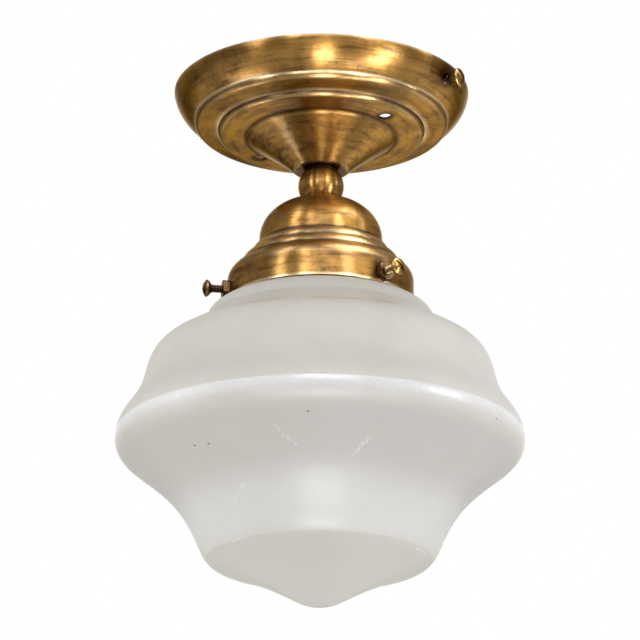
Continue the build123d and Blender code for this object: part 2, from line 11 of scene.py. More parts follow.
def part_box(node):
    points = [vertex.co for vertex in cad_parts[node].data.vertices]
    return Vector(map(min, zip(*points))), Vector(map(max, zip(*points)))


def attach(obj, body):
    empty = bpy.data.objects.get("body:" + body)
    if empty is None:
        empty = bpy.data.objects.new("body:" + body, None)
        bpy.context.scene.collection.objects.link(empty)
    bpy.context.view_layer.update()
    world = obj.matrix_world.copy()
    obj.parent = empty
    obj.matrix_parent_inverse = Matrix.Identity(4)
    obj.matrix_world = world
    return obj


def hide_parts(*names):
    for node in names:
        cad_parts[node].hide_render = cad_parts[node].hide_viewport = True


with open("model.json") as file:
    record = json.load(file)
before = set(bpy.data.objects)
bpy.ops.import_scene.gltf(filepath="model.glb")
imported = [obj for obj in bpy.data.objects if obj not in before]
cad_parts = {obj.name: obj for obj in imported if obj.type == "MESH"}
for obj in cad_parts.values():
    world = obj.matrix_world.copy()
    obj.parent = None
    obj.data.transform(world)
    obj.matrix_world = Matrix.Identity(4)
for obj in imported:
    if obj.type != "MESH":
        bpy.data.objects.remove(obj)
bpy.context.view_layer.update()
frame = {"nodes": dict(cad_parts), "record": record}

MM = 0.001

# Camera, from the ring ellipses and the outline in the photograph, in millimetres and degrees
CAMERA_ANGLE = -60.0
CAMERA_DISTANCE = 1400.0
CAMERA_HEIGHT = -612.1
CAMERA_PITCH = 19.235
CAMERA_ROLL = 0.25
CAMERA_LENS = 164.98
CAMERA_SENSOR = 36.0
CAMERA_SHIFT_X = -0.0007
CAMERA_REACH = 50000.0

# Stage, in millimetres
FLOOR_Z = -2600.0
FLOOR_SIZE = 14000.0

# Lamps, in metres, with the watts for each square metre of a lamp at a glow of 1
LAMP_DISTANCE = 1.8
LAMP_MIDDLE = Vector((0, 0, -0.13))
LAMP_POWER = 4
WHITE = (1.0, 1.0, 1.0)

# Turned pieces, in millimetres, with the angle of a sharp edge in degrees
TURN_STEPS = 216
SAMPLE_STEP = 0.7
INSIDE_STEP = 2.5
CURVE_PULL = 0.39
SAME_POINT = 1e-4
ON_AXIS = 1e-6
SHARP_ANGLE = 38
HOLE_STEPS = 40
SEARCH_SHARE = 2000

# Wear and painted highlight on edges, grime and painted shade in creases: the least turn in radians that
# counts, how far it spreads in millimetres, and the grime of an unpolished inner side
SMOOTH_TURN = 0.06
EDGE_BLUR = 0.6
INNER_GRIME = 0.55


# Profiles

def way(heading):
    """Unit vector at a heading in degrees."""
    angle = math.radians(heading)
    return Vector((math.cos(angle), math.sin(angle)))


def around(radius, degrees, height):
    """Point at a radius, an angle about Z and a height."""
    angle = math.radians(degrees)
    return (radius * math.cos(angle), radius * math.sin(angle), height)


class Profile:
    """A turned outline of radius and height in millimetres, drawn piece by piece."""

    def __init__(self, radius, height):
        self.points = [Vector((radius, height))]
        self.step = SAMPLE_STEP
        self.unseen = None

    def line(self, radius, height):
        start = self.points[-1]
        end = Vector((radius, height))
        steps = max(1, round((end - start).length / self.step / 2))
        self.points += [start.lerp(end, i / steps) for i in range(1, steps + 1)]
        return self

    def arc(self, radius, height, bulge):
        """Arc that stands out by the bulge to the left of the way it runs."""
        start = self.points[-1]
        end = Vector((radius, height))
        chord = end - start
        left = Vector((-chord.y, chord.x)).normalized()
        round_r = chord.length ** 2 / (8 * bulge) + bulge / 2
        centre = (start + end) / 2 + left * (bulge - round_r)
        half = math.asin(chord.length / 2 / round_r)
        steps = max(4, round(2 * half * round_r / self.step))
        for i in range(1, steps + 1):
            turn = half - 2 * half * i / steps
            across = left * round_r * math.cos(turn)
            along = chord.normalized() * round_r * math.sin(turn)
            self.points.append(centre + across - along)
        return self

    def curve(self, radius, height, leave, arrive):
        """Bezier curve between two headings in degrees."""
        start = self.points[-1]
        end = Vector((radius, height))
        reach = (end - start).length * CURVE_PULL
        a = start + way(leave) * reach
        b = end - way(arrive) * reach
        steps = max(4, round((end - start).length / self.step))
        for i in range(1, steps + 1):
            t = i / steps
            s = 1 - t
            self.points.append(s ** 3 * start + 3 * s * s * t * a + 3 * s * t * t * b + t ** 3 * end)
        return self

    def flow(self, stations, inset=0.0):
        """Go on through stations of radius, height and heading, moved right by the inset."""
        moved = []
        for radius, height, heading in stations:
            ahead = way(heading)
            right = Vector((ahead.y, -ahead.x))
            moved.append((Vector((radius, height)) + right * inset, heading))
        for (_, leave), (spot, arrive) in pairwise(moved):
            self.curve(spot.x, spot.y, leave, arrive)
        return self

    def turn_in(self):
        """Take what follows as the unpolished inner side."""
        self.unseen = self.points[-1]
        return self

    def inside(self, points):
        """Add points of another profile, from its end to its start."""
        self.points += points[::-1]
        return self


def edge_marks(points, closed):
    """Way along a profile, wear and painted highlight on its proud edges, and grime and painted shade in its
    creases.
    """
    spots = np.array([(p.x, p.y) for p in points])
    along = np.concatenate([[0.0], np.cumsum(np.hypot(*np.diff(spots, axis=0).T))])
    before = spots - np.roll(spots, 1, axis=0)
    after = np.roll(spots, -1, axis=0) - spots
    cross = before[:, 0] * after[:, 1] - before[:, 1] * after[:, 0]
    turns = np.arctan2(cross, (before * after).sum(1))
    if not closed:
        turns[[0, -1]] = 0.0
    turns[np.abs(turns) < SMOOTH_TURN] = 0.0
    near = np.exp(-((along[:, None] - along[None]) / EDGE_BLUR) ** 2)
    wear_and_highlight = np.clip(near @ np.clip(-turns, 0, None), 0, 1)
    grime_and_shade = np.clip(near @ np.clip(turns, 0, None), 0, 1)
    return spots, along, wear_and_highlight, grime_and_shade


def finish_mesh(mesh, sharp=SHARP_ANGLE):
    """Turn the faces outward and shade them smooth up to a sharp angle."""
    work = bmesh.new()
    work.from_mesh(mesh)
    bmesh.ops.recalc_face_normals(work, faces=work.faces)
    work.to_mesh(mesh)
    work.free()
    for polygon in mesh.polygons:
        polygon.use_smooth = True
    mesh.set_sharp_from_angle(angle=math.radians(sharp))


def spin(rings, steps, closed):
    """Faces between rings of (first vertex, count), where a count of 1 is a point on the axis."""
    faces = []
    pairs = list(pairwise(rings))
    if closed:
        pairs.append((rings[-1], rings[0]))
    for (a, a_count), (b, b_count) in pairs:
        for k in range(steps):
            n = (k + 1) % steps
            if a_count == 1 and b_count > 1:
                faces.append((a, b + n, b + k))
            elif b_count == 1 and a_count > 1:
                faces.append((a + k, a + n, b))
            elif a_count > 1:
                faces.append((a + k, a + n, b + n, b + k))
    return faces


def new_object(name, data):
    """Object in the scene for a mesh, a lamp or a camera."""
    thing = bpy.data.objects.new(name, data)
    bpy.context.scene.collection.objects.link(thing)
    return thing


def as_cutter(work):
    """Cutter made from a working mesh."""
    mesh = bpy.data.meshes.new("cutter")
    work.to_mesh(mesh)
    work.free()
    return new_object("cutter", mesh)


def cylinder_cutter(radius, length, centre, direction):
    """Round cutter for a hole, its length centred on a point."""
    work = bmesh.new()
    aim = Vector(direction).to_track_quat("Z", "Y").to_matrix().to_4x4()
    bmesh.ops.create_cone(
        work, cap_ends=True, segments=HOLE_STEPS, radius1=radius * MM, radius2=radius * MM, depth=length * MM,
        matrix=Matrix.Translation(Vector(centre) * MM) @ aim,
    )
    return as_cutter(work)


def cut_away(piece, cutters):
    """Cut other objects out of a piece and remove them."""
    for cutter in cutters:
        modifier = piece.modifiers.new("cut", "BOOLEAN")
        modifier.operation = "DIFFERENCE"
        modifier.solver = "EXACT"
        modifier.object = cutter
    bpy.context.view_layer.update()
    shaped = piece.evaluated_get(bpy.context.evaluated_depsgraph_get())
    mesh = bpy.data.meshes.new_from_object(shaped)
    piece.modifiers.clear()
    old = piece.data
    piece.data = mesh
    bpy.data.meshes.remove(old)
    for cutter in cutters:
        bpy.data.objects.remove(cutter)


def vertex_places(mesh):
    """Places of the vertices in millimetres, and their distances from Z."""
    places = np.empty(len(mesh.vertices) * 3)
    mesh.vertices.foreach_get("co", places)
    places = places.reshape(-1, 3) / MM
    return places, np.maximum(np.hypot(places[:, 0], places[:, 1]), ON_AXIS)


def stamp(mesh, places, radius, along, wear_and_highlight, grime_and_shade):
    """Keep the way round and along, the wear with painted highlight and the grime with painted shade on the
    vertices.
    """
    turn = np.stack([places[:, 0] / radius, places[:, 1] / radius, along], 1)
    mesh.attributes.new("turn", "FLOAT_VECTOR", "POINT").data.foreach_set("vector", turn.ravel())
    mesh.attributes.new("wear_and_highlight", "FLOAT", "POINT").data.foreach_set("value", wear_and_highlight)
    mesh.attributes.new("grime_and_shade", "FLOAT", "POINT").data.foreach_set("value", grime_and_shade)


def add_spots(share, spots, flat, places):
    """Raise a share near spots.

    A spot is a place with its spread and its strength. The place is a radius and a height, or x, y and z.
    """
    for place, spread, strength in spots:
        ways = (flat if len(place) == 2 else places) - np.array(place)
        share = np.maximum(share, strength * np.exp(-(ways ** 2).sum(1) / spread ** 2))
    return share


def lathe(name, profile, cutters=(), painted_shade=(), rubs_and_highlights=(), edge_share=1.0):
    """Piece turned from a profile about Z, its turn, wear with painted highlight and grime with painted shade
    kept on the vertices.

    Edges and creases give the edge share of the wear and the grime, the rubbed and highlight lines add to the
    wear, and the spots of painted shade add to the grime.
    """
    following = profile.points[1:] + profile.points[:1]
    points = [p for p, q in zip(profile.points, following) if (p - q).length > SAME_POINT]
    on_axis = min(points[0].x, points[-1].x) < ON_AXIS
    verts = []
    rings = []
    for point in points:
        count = 1 if point.x < ON_AXIS else TURN_STEPS
        rings.append((len(verts), count))
        for k in range(count):
            angle = 2 * math.pi * k / TURN_STEPS
            verts.append((point.x * math.cos(angle) * MM, point.x * math.sin(angle) * MM, point.y * MM))
    mesh = bpy.data.meshes.new(name)
    mesh.from_pydata(verts, [], spin(rings, TURN_STEPS, not on_axis))
    finish_mesh(mesh)
    piece = new_object(name, mesh)
    if cutters:
        cut_away(piece, cutters)
        finish_mesh(piece.data)
        mesh = piece.data
    spots, along, wear_and_highlight, grime_and_shade = edge_marks(points, not on_axis)
    places, radius = vertex_places(mesh)
    flat = np.stack([radius, places[:, 2]], 1)
    parts = np.array_split(flat, len(flat) // SEARCH_SHARE + 1)
    nearest = np.concatenate([((part[:, None] - spots) ** 2).sum(2).argmin(1) for part in parts])
    worn_and_highlit = add_spots(wear_and_highlight[nearest] * edge_share, rubs_and_highlights, flat, places)
    dirt_and_shade = add_spots(grime_and_shade[nearest] * edge_share, painted_shade, flat, places)
    if profile.unseen is not None:
        dirt_and_shade[nearest > points.index(profile.unseen)] = INNER_GRIME
    stamp(mesh, places, radius, along[nearest], worn_and_highlit, dirt_and_shade)
    return piece


# Stage, light and camera

scene = bpy.context.scene
scene.view_settings.view_transform = "Standard"

camera_data = bpy.data.cameras.new("camera")
camera_data.lens = CAMERA_LENS
camera_data.sensor_width = CAMERA_SENSOR
camera_data.shift_x = CAMERA_SHIFT_X
camera_data.clip_end = CAMERA_REACH * MM
camera = new_object("camera", camera_data)
scene.camera = camera
camera.location = Vector(around(CAMERA_DISTANCE, CAMERA_ANGLE, CAMERA_HEIGHT)) * MM
pitch = math.radians(CAMERA_PITCH)
look = -Vector(around(math.cos(pitch), CAMERA_ANGLE, -math.sin(pitch)))
roll = Euler((0, 0, math.radians(CAMERA_ROLL))).to_quaternion()
camera.rotation_mode = "QUATERNION"
camera.rotation_quaternion = look.to_track_quat("-Z", "Y") @ roll

# Pieces that a lamp lights: the shade alone, or all the others
metal_pieces = bpy.data.collections.new("metal_pieces")
glass_pieces = bpy.data.collections.new("glass_pieces")


def softbox(name, azimuth, low, high, width, glow, pieces, shows=True, lights=False, tint=WHITE):
    """Upright area light on some pieces, seen in their gloss or lighting their body.

    The azimuth to the right of the camera, the low and high elevation and the width are in degrees.
    """
    foot, head = (
        Vector(around(LAMP_DISTANCE * math.cos(lift), CAMERA_ANGLE + azimuth, LAMP_DISTANCE * math.sin(lift)))
        for lift in (math.radians(low), math.radians(high))
    )
    data = bpy.data.lights.new(name, "AREA")
    data.shape = "RECTANGLE"
    data.size = 2 * LAMP_DISTANCE * math.tan(math.radians(width / 2))
    data.size_y = (head - foot).length
    data.energy = glow * LAMP_POWER * data.size * data.size_y
    data.color = tint
    lamp = new_object(name, data)
    lamp.location = LAMP_MIDDLE + (foot + head) / 2
    back = ((foot + head) / 2).normalized()
    up = (head - foot).normalized()
    side = up.cross(back)
    lamp.rotation_mode = "QUATERNION"
    lamp.rotation_quaternion = Matrix((side, up, side.cross(up))).transposed().to_quaternion()
    lamp.visible_camera = False
    lamp.visible_glossy = shows
    lamp.visible_diffuse = lights
    lamp.light_linking.receiver_collection = pieces


for strip in (
    ("strip_right", 53, -52, -6, 9, 17.0),
    ("strip_low_right", 46, -68, -58, 10, 15.0),
    ("strip_far_right", 84, 8, 45, 7, 3.0),
    ("strip_left", -50, -4, 55, 9, 4.6),
    ("strip_front", 3, -68, -28, 10, 13.5),
    ("window_left", -19, 8, 40, 10, 4.8),
    ("window_middle", 4, 8, 40, 28, 1.9),
    ("window_right", 33, 8, 40, 13, 8.6),
    ("window_high", 26, 42, 76, 12, 4.0),
    ("window_high_right", 64, 42, 80, 24, 13.0),
    ("strip_under_right", 97, -82, -66, 8, 20.0),
    ("strip_under_left", -112, -66, -46, 7, 10.0),
    ("sheet_right", 105, -40, -8, 44, 0.35),
    ("sheet_left", -105, -40, -8, 44, 0.15),
    ("sheet_behind", 152, -36, -8, 60, 0.45),
):
    softbox(*strip, metal_pieces)
softbox("glow_front", 3, -56, -34, 30, 14.0, glass_pieces, tint=(0.94, 0.97, 1.0))
softbox("glow_ridge_right", 71, 5, 20, 19, 12.5, glass_pieces)
softbox("glow_ridge_front", 3, 20, 31, 30, 10.5, glass_pieces)
softbox("glow_ridge_left", -80, 8, 18, 20, 4.0, glass_pieces)
for *fill_lamp, fill_tint in (
    ("fill_front", 0, -50, -12, 44, 0.34, WHITE),
    ("fill_left", -82, -45, 0, 40, 0.80, (1.0, 0.98, 0.93)),
    ("fill_low_left", -95, -66, -40, 40, 0.5, WHITE),
    ("fill_low_right", 95, -66, -40, 40, 0.8, WHITE),
    ("fill_right", 82, -45, 0, 40, 1.0, WHITE),
    ("fill_high", 0, 8, 45, 60, 0.25, WHITE),
):
    softbox(*fill_lamp, glass_pieces, shows=False, lights=True, tint=fill_tint)

floor_mesh = bpy.data.meshes.new("floor")
floor_half = FLOOR_SIZE / 2
floor_signs = ((-1, -1), (1, -1), (1, 1), (-1, 1))
floor_corners = [(x * floor_half * MM, y * floor_half * MM, FLOOR_Z * MM) for x, y in floor_signs]
floor_mesh.from_pydata(floor_corners, [], [(0, 1, 2, 3)])
floor = new_object("floor", floor_mesh)


# Material nodes

class Nodes:
    """Shorthand for building one node tree."""

    def __init__(self, tree):
        self.tree = tree

    def add(self, kind, inputs=None, **settings):
        node = self.tree.nodes.new(kind)
        for key, value in settings.items():
            setattr(node, key, value)
        for key, value in (inputs or {}).items():
            self.put(node.inputs[key], value)
        return node

    def put(self, socket, value):
        if isinstance(value, bpy.types.NodeSocket):
            self.tree.links.new(value, socket)
        else:
            socket.default_value = value

    def math(self, operation, a, b=0.0, clamp=False):
        return self.add("ShaderNodeMath", {0: a, 1: b}, operation=operation, use_clamp=clamp).outputs[0]

    def ramp(self, value, low, high, to_low=0.0, to_high=1.0):
        inputs = {"Value": value, "From Min": low, "From Max": high, "To Min": to_low, "To Max": to_high}
        return self.add("ShaderNodeMapRange", inputs, clamp=True, interpolation_type="SMOOTHSTEP").outputs[0]

    def band(self, value, start, full, fade, end):
        """Share that rises to whole from the start on, and fades away before the end."""
        return self.math("MULTIPLY", self.ramp(value, start, full), self.ramp(value, fade, end, 1.0, 0.0))

    def place(self):
        return self.add("ShaderNodeTexCoord").outputs["Object"]

    def noise(self, vector, scale, detail=3.0, roughness=0.5, distortion=0.0):
        inputs = {"Vector": vector, "Scale": scale, "Detail": detail}
        inputs |= {"Roughness": roughness, "Distortion": distortion}
        return self.add("ShaderNodeTexNoise", inputs).outputs["Fac"]

    def vector(self, operation, a, b, output="Vector"):
        return self.add("ShaderNodeVectorMath", {0: a, 1: b}, operation=operation).outputs[output]

    def scaled(self, vector, by):
        return self.vector("MULTIPLY", vector, by)

    def bump(self, height, strength, distance, under=None):
        """Normal bumped by a height, over another bump if there is one."""
        inputs = {"Height": height, "Strength": strength, "Distance": distance}
        if under is not None:
            inputs["Normal"] = under
        return self.add("ShaderNodeBump", inputs).outputs[0]

    def attribute(self, name, output):
        return self.add("ShaderNodeAttribute", attribute_name=name).outputs[output]

    def mark(self, vector, start, end, width):
        """Share of a thin mark that runs from one point to another, all in millimetres."""
        begin = Vector(start) * MM
        run = Vector(end) * MM - begin
        from_start = self.vector("SUBTRACT", vector, tuple(begin))
        part = self.vector("DOT_PRODUCT", from_start, tuple(run / run.length_squared), "Value")
        along = self.math("ADD", part, 0.0, clamp=True)
        foot = self.scaled(tuple(run), along)
        away = self.vector("DISTANCE", from_start, foot, "Value")
        return self.ramp(away, 0.0, width * MM, 1.0, 0.0)

    def mix(self, share, a, b):
        node = self.add("ShaderNodeMix", data_type="RGBA")
        self.put(node.inputs[0], share)
        self.put(node.inputs[6], a)
        self.put(node.inputs[7], b)
        return node.outputs[2]


def rgb(red, green, blue):
    return (red, green, blue, 1.0)


def new_material(name):
    """Material with its node helper and its plain Principled shader."""
    material = bpy.data.materials.new(name)
    material.use_nodes = True
    tree = material.node_tree
    return material, Nodes(tree), tree.nodes["Principled BSDF"]


# Tones of the brass, the last one where it is seen edge on
BRASS_CLEAN = rgb(0.345, 0.184, 0.044)
BRASS_BROWN = rgb(0.078, 0.036, 0.009)
# The grime tone also stands for painted shade, and the rubbed tone for painted highlights on edges
BRASS_GRIME_AND_SHADE = rgb(0.020, 0.009, 0.004)
BRASS_RUB_AND_HIGHLIGHT = rgb(0.95, 0.77, 0.48)
BRASS_STREAK = rgb(0.10, 0.047, 0.011)
BRASS_PIT = rgb(0.06, 0.03, 0.012)
BRASS_GLANCE = rgb(0.82, 0.58, 0.30)


def aged_brass(name, turned, brushed):
    """Antique brass, darkened in its creases by grime and painted shade, and lightened on its edges by wear
    and painted highlight.

    A turned piece has its marks on its vertices, and a brushed one shines across its brushing round Z.
    """
    material, n, shader = new_material(name)
    place = n.place()
    if turned:
        turn = n.attribute("turn", "Vector")
        wear_and_highlight = n.attribute("wear_and_highlight", "Fac")
        grime_and_shade = n.attribute("grime_and_shade", "Fac")
        brush_at = n.scaled(turn, (3.0, 3.0, 1.7))
        band_at = n.scaled(turn, (2.2, 2.2, 0.35))
    else:
        wear_and_highlight = 0.03
        grime_and_shade = 0.30
        brush_at = n.scaled(place, (900.0, 900.0, 2600.0))
        band_at = n.scaled(place, (60.0, 60.0, 160.0))
    brush = n.noise(brush_at, 1.0, 3.0, 0.7)
    band = n.noise(band_at, 1.0, 4.0, 0.6)
    cloud = n.noise(place, 45.0, 5.0, 0.62)
    blotch = n.noise(place, 140.0, 4.0, 0.6, 0.6)
    pit = n.noise(place, 1100.0, 1.0)
    brown = n.math("ADD", n.ramp(cloud, 0.42, 0.62, 0.0, 0.55), n.ramp(band, 0.45, 0.66, 0.0, 0.45))
    brown = n.math("ADD", brown, n.ramp(blotch, 0.54, 0.72, 0.0, 0.22), clamp=True)
    # The grime share holds painted shade in creases, holes and where parts meet, and the wear share painted
    # highlights on edges
    brown = n.math("ADD", brown, grime_and_shade, clamp=True)
    colour = n.mix(brown, BRASS_CLEAN, BRASS_BROWN)
    colour = n.mix(n.math("MULTIPLY", grime_and_shade, 1.4, clamp=True), colour, BRASS_GRIME_AND_SHADE)
    colour = n.mix(n.math("MULTIPLY", wear_and_highlight, n.ramp(cloud, 0.3, 0.6, 1.0, 0.6)), colour, BRASS_RUB_AND_HIGHLIGHT)
    colour = n.mix(n.ramp(brush, 0.40, 0.68, 0.0, 0.16), colour, BRASS_STREAK)
    colour = n.mix(n.ramp(pit, 0.73, 0.78, 0.0, 0.75), colour, BRASS_PIT)
    n.put(shader.inputs["Base Color"], colour)
    shader.inputs["Metallic"].default_value = 1.0
    shader.inputs["Specular Tint"].default_value = BRASS_GLANCE
    rough = n.math("ADD", n.ramp(brush, 0.25, 0.75, 0.24, 0.33), n.math("MULTIPLY", brown, 0.10))
    n.put(shader.inputs["Roughness"], rough)
    shader.inputs["Coat Weight"].default_value = 0.22
    shader.inputs["Coat Roughness"].default_value = 0.17
    if brushed:
        shader.inputs["Anisotropic"].default_value = 0.82
        shader.inputs["Anisotropic Rotation"].default_value = 0.25
        tangent = n.add("ShaderNodeTangent", direction_type="RADIAL", axis="Z")
        n.put(shader.inputs["Tangent"], tangent.outputs[0])
    n.put(shader.inputs["Normal"], n.bump(blotch, 0.04, 0.001, n.bump(brush, 0.10, 0.0004)))
    return material


# Tones of the glass
GLASS_DULL = rgb(0.568, 0.544, 0.500)
GLASS_PALE = rgb(0.645, 0.624, 0.588)
GLASS_GRAIN = rgb(0.70, 0.69, 0.67)
GLASS_UNDER_BELLY_SHADE = rgb(0.466, 0.446, 0.424)
GLASS_SKIRT = rgb(0.606, 0.614, 0.614)
GLASS_COLLAR_SHADE = rgb(0.515, 0.495, 0.445)
GLASS_WARM_LIGHT = rgb(0.53, 0.50, 0.43)
GLASS_RIDGE_HIGHLIGHT = rgb(0.81, 0.825, 0.86)
GLASS_FOOT_SHADE = rgb(0.515, 0.50, 0.45)
GLASS_AMBER_LINE = rgb(0.44, 0.30, 0.20)
GLASS_FLECK = rgb(0.35, 0.30, 0.25)
GLASS_SCUFF_AND_GLINT = rgb(0.95, 0.95, 0.95)
GLASS_SPECK = rgb(0.05, 0.04, 0.035)

# Marks of the glass in millimetres: the height of an amber line, the side with painted warm light as a
# direction, scuffs and painted glints from a start to an end with width and strength, and dark specks
AMBER_LINE_Z = -138.3
WARM_LIT_SIDE = (-0.866, -0.5, 0.0)
GLASS_SCUFFS_AND_GLINTS = (
    ((23.8, -83.9, -205.8), (29.3, -72.8, -213.5), 1.8, 1.0),
    ((50.1, -56.2, -216.7), (59.8, -57.0, -209.6), 2.3, 1.0),
    ((-11.8, -63.1, -232.7), (-0.7, -68.6, -225.2), 1.7, 0.8),
    # Painted glints along the foot edge
    ((-23.1, -50.9, -248.6), (-9.4, -54.9, -248.8), 1.1, 2.2),
    ((54.8, -1.9, -249.6), (54.2, 9.5, -249.5), 1.1, 2.2),
    # Painted highlight on the ridge
    ((86.6, -53.8, -188.3), (97.6, -29.1, -190.6), 1.5, 1.0),
)
GLASS_SPECKS = (
    (-22.1, -81.5, -208.0),
    (-13.5, -82.6, -208.6),
    (41.4, -83.4, -201.0),
    (101.0, -5.5, -192.7),
)


def opal_glass(name):
    """Satin opal glass with painted shade, painted warm light, painted highlights and glints, an amber line,
    flecks and scratches.
    """
    material, n, shader = new_material(name)
    place = n.place()
    height = n.math("DIVIDE", n.add("ShaderNodeSeparateXYZ", {0: place}).outputs["Z"], MM)
    cloud = n.noise(place, 14.0, 4.0, 0.55)
    grain = n.noise(n.scaled(place, (420.0, 420.0, 900.0)), 1.0, 3.0, 0.6)
    fleck = n.noise(place, 520.0, 1.0)
    smear = n.noise(n.scaled(place, (30.0, 30.0, 60.0)), 1.0, 4.0, 0.65)

    # Tones that change with the height in millimetres, painted shade and a painted ridge highlight among
    # them, and painted warm light on one side
    # Painted shade on the downward-facing glass under the belly
    under_belly_shade = n.band(height, -238.0, -214.0, -200.0, -190.0)
    skirt = n.band(height, -249.0, -244.0, -238.0, -214.0)
    # Painted warm light on one side of the glass
    aside = n.vector("DOT_PRODUCT", place, WARM_LIT_SIDE, "Value")
    warm_light = n.math("MULTIPLY", n.ramp(aside, 0.01, 0.09), n.ramp(height, -198.0, -165.0))
    # Polished ring at the widest point, lightened by a painted highlight
    ridge = n.band(height, -194.0, -186.0, -186.1, -185.2)
    rubbed_and_highlight = n.math("MULTIPLY", ridge, n.ramp(grain, 0.35, 0.62, 0.65, 1.0))
    colour = n.mix(n.ramp(cloud, 0.3, 0.7), GLASS_DULL, GLASS_PALE)
    colour = n.mix(n.ramp(grain, 0.3, 0.7, 0.0, 0.18), colour, GLASS_GRAIN)
    colour = n.mix(n.math("MULTIPLY", under_belly_shade, 0.8), colour, GLASS_UNDER_BELLY_SHADE)
    colour = n.mix(n.math("MULTIPLY", skirt, 0.6), colour, GLASS_SKIRT)
    # Painted shade on the upper glass towards the collar
    colour = n.mix(n.ramp(height, -150.0, -124.0, 0.0, 0.7), colour, GLASS_COLLAR_SHADE)
    colour = n.mix(n.math("MULTIPLY", warm_light, 0.55), colour, GLASS_WARM_LIGHT)
    colour = n.mix(n.math("MULTIPLY", rubbed_and_highlight, 0.7), colour, GLASS_RIDGE_HIGHLIGHT)
    # Painted shade on the downward-facing foot
    colour = n.mix(n.ramp(height, -248.9, -248.2, 0.7, 0.0), colour, GLASS_FOOT_SHADE)

    # Broken amber line under the collar, flecks, scuffs with painted glints, and specks
    amber_line_rise = n.math("ADD", n.math("SUBTRACT", height, AMBER_LINE_Z), n.ramp(cloud, 0.3, 0.7, -1.6, 1.6))
    amber_line = n.ramp(n.math("ABSOLUTE", amber_line_rise), 0.0, 1.1, 0.85, 0.0)
    colour = n.mix(n.math("MULTIPLY", amber_line, n.ramp(smear, 0.44, 0.64)), colour, GLASS_AMBER_LINE)
    colour = n.mix(n.ramp(fleck, 0.80, 0.84, 0.0, 0.4), colour, GLASS_FLECK)
    broken = n.ramp(n.noise(place, 420.0, 3.0, 0.7), 0.44, 0.68, 0.0, 0.34)
    scuffed_and_glinting = 0.0
    for start, end, width, strength in GLASS_SCUFFS_AND_GLINTS:
        scuff = n.math("MULTIPLY", n.mark(place, start, end, width), strength)
        scuffed_and_glinting = n.math("MAXIMUM", scuffed_and_glinting, scuff)
    colour = n.mix(n.math("MULTIPLY", scuffed_and_glinting, broken), colour, GLASS_SCUFF_AND_GLINT)
    for speck in GLASS_SPECKS:
        tail = (speck[0] + 0.3, speck[1], speck[2] - 0.2)
        colour = n.mix(n.mark(place, speck, tail, 0.75), colour, GLASS_SPECK)
    n.put(shader.inputs["Base Color"], colour)

    rough = n.math("ADD", n.ramp(cloud, 0.3, 0.7, 0.42, 0.50), n.math("MULTIPLY", rubbed_and_highlight, -0.30))
    n.put(shader.inputs["Roughness"], rough)
    shader.inputs["Specular IOR Level"].default_value = 0.3
    shader.inputs["Subsurface Weight"].default_value = 0.3
    shader.inputs["Subsurface Radius"].default_value = (0.004, 0.0038, 0.0035)
    shader.inputs["Coat Weight"].default_value = 0.02
    shader.inputs["Coat Roughness"].default_value = 0.12
    ripple = n.noise(place, 30.0, 2.0)
    n.put(shader.inputs["Normal"], n.bump(grain, 0.04, 0.0004, n.bump(ripple, 0.06, 0.002)))
    return material


def plain_metal(name, colour, dark, rough, scale=60.0):
    """Machined or plated metal with faint mottling and scuffs."""
    material, n, shader = new_material(name)
    place = n.place()
    mottle = n.noise(place, scale, 4.0, 0.6)
    scuff = n.noise(n.scaled(place, (2200.0, 400.0, 1500.0)), 1.0, 2.0)
    n.put(shader.inputs["Base Color"], n.mix(n.ramp(mottle, 0.35, 0.7), rgb(*colour), rgb(*dark)))
    shader.inputs["Metallic"].default_value = 1.0
    n.put(shader.inputs["Roughness"], n.ramp(scuff, 0.3, 0.7, rough - 0.06, rough + 0.1))
    n.put(shader.inputs["Normal"], n.bump(scuff, 0.05, 0.0003))
    return material


def plain_body(name, colour, shade, rough, scale=120.0, coat=0.0):
    """Moulded, glazed or sleeved surface with a faint grain."""
    material, n, shader = new_material(name)
    place = n.place()
    grain = n.noise(place, scale, 4.0, 0.6)
    fine = n.noise(place, scale * 12, 2.0)
    n.put(shader.inputs["Base Color"], n.mix(n.ramp(grain, 0.35, 0.7), rgb(*colour), rgb(*shade)))
    n.put(shader.inputs["Roughness"], n.ramp(fine, 0.3, 0.7, rough - 0.05, rough + 0.08))
    shader.inputs["Coat Weight"].default_value = coat
    shader.inputs["Coat Roughness"].default_value = 0.08
    n.put(shader.inputs["Normal"], n.bump(fine, 0.05, 0.0003))
    return material


def dress(thing, material):
    """Give an object one material."""
    thing.data.materials.clear()
    thing.data.materials.append(material)


# World: white to the camera, and white behind the object for reflections, grey elsewhere

world = bpy.data.worlds.new("studio")
scene.world = world
world.use_nodes = True
sky = Nodes(world.node_tree)
background = world.node_tree.nodes["Background"]
ray = sky.add("ShaderNodeLightPath")
direction = sky.add("ShaderNodeTexCoord").outputs["Generated"]
rise = sky.add("ShaderNodeSeparateXYZ", {0: direction}).outputs["Z"]
behind = sky.vector("DOT_PRODUCT", direction, tuple(look), "Value")
backdrop = sky.ramp(behind, 0.88, 0.98)
mirror = sky.math("MAXIMUM", ray.outputs["Is Glossy Ray"], ray.outputs["Is Transmission Ray"])
shown = sky.math("MAXIMUM", ray.outputs["Is Camera Ray"], sky.math("MULTIPLY", mirror, backdrop))
soft = sky.mix(sky.ramp(rise, -0.1, 0.9), rgb(1.02, 1.02, 1.02), rgb(0.86, 0.86, 0.86))
dim = sky.mix(sky.ramp(rise, -0.1, 0.25), rgb(0.09, 0.09, 0.09), rgb(0.60, 0.60, 0.60))
fill = sky.mix(mirror, soft, dim)
sky.put(background.inputs["Color"], sky.mix(shown, fill, rgb(1.0, 1.0, 1.0)))
background.inputs["Strength"].default_value = 1.0

